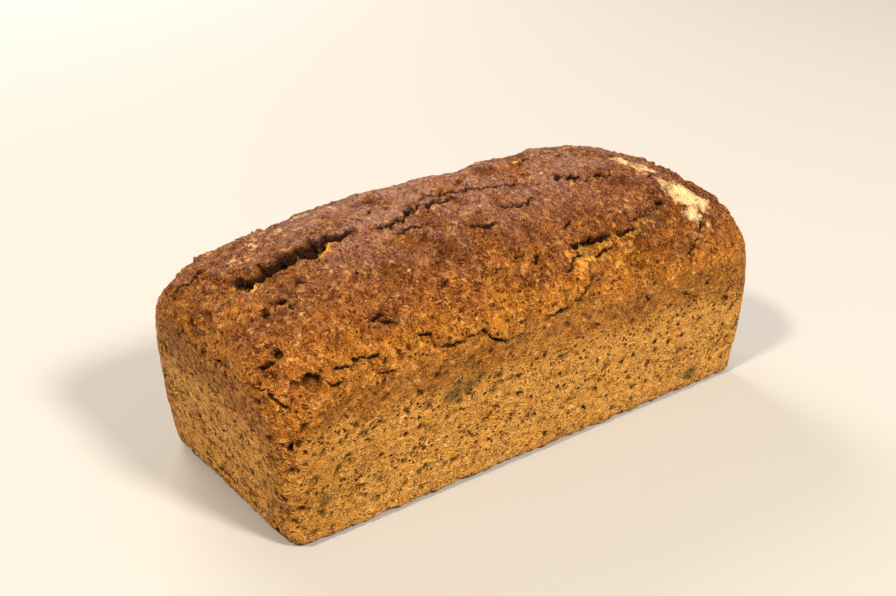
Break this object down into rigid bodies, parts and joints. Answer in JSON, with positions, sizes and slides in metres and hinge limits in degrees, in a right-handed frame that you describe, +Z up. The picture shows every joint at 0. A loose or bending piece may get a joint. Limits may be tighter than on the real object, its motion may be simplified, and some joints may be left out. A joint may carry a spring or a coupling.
{
  "type": "tin loaf",
  "caption": "Oblong wholegrain rye loaf baked in a tin: straight pored walls under a high, cracked and torn brown crown.",
  "frame": {"origin": "middle of the flat base, at its lowest point", "axes": "+X along the loaf, towards the end where the crown is fullest; +Y across it; +Z up"},
  "size_m": [0.245, 0.112, 0.107],
  "materials": {
    "crust": "rough baked crust, dark on the crown and golden brown on the walls"
  },
  "bodies": {
    "root": {"loaf": "crust"}
  },
  "joints": []
}
